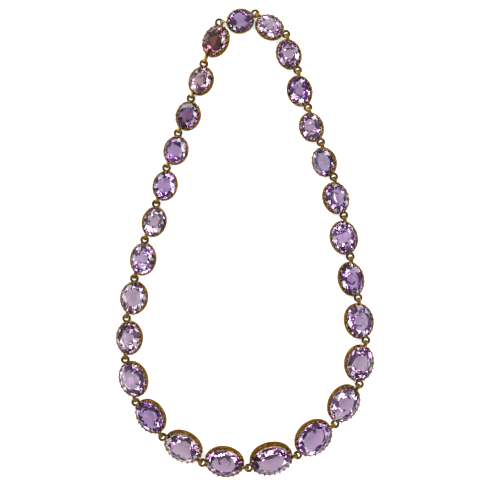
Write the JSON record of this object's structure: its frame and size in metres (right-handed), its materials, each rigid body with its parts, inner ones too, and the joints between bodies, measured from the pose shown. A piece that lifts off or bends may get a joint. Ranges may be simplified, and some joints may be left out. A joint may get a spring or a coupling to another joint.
{
  "type": "amethyst necklace",
  "caption": "Closed necklace of graduated oval amethysts in open-backed gold claw collets, each hooked into the ring of the next; it lies flat, face up.",
  "frame": {"origin": "middle of the whole outline, on the surface that the necklace lies on", "axes": "+Z out of the faces of the stones, +Y along the length of the loop towards the clasp at the back of the neck, +X to the right seen from above"},
  "size_m": [0.1008, 0.1825, 0.009],
  "materials": {
    "gold": "antique gold, worn bright on the edges and dark in the corners",
    "pale_gold": "paler polished gold",
    "amethyst": "clear faceted violet quartz"
  },
  "bodies": {
    "root": {"setting_01": "gold", "setting_02": "gold", "setting_03": "gold", "setting_04": "gold", "setting_05": "gold", "setting_06": "gold", "setting_07": "gold", "setting_08": "gold", "setting_09": "gold", "setting_10": "gold", "setting_11": "gold", "setting_12": "gold", "setting_13": "gold", "setting_14": "gold", "setting_15": "gold", "setting_16": "gold", "setting_17": "gold", "setting_18": "gold", "setting_19": "gold", "setting_20": "gold", "setting_21": "gold", "setting_22": "gold", "setting_23": "gold", "setting_24": "gold", "setting_25": "gold", "setting_26": "gold", "setting_27": "gold", "stone_01": "amethyst", "stone_02": "amethyst", "stone_03": "amethyst", "stone_04": "amethyst", "stone_05": "amethyst", "stone_06": "amethyst", "stone_07": "amethyst", "stone_08": "amethyst", "stone_09": "amethyst", "stone_10": "amethyst", "stone_11": "amethyst", "stone_12": "amethyst", "stone_13": "amethyst", "stone_14": "amethyst", "stone_15": "amethyst", "stone_16": "amethyst", "stone_17": "amethyst", "stone_18": "amethyst", "stone_19": "amethyst", "stone_20": "amethyst", "stone_21": "amethyst", "stone_22": "amethyst", "stone_23": "amethyst", "stone_24": "amethyst", "stone_25": "amethyst", "stone_26": "amethyst", "stone_27": "amethyst", "clasp_tongue": "pale_gold"}
  },
  "joints": []
}
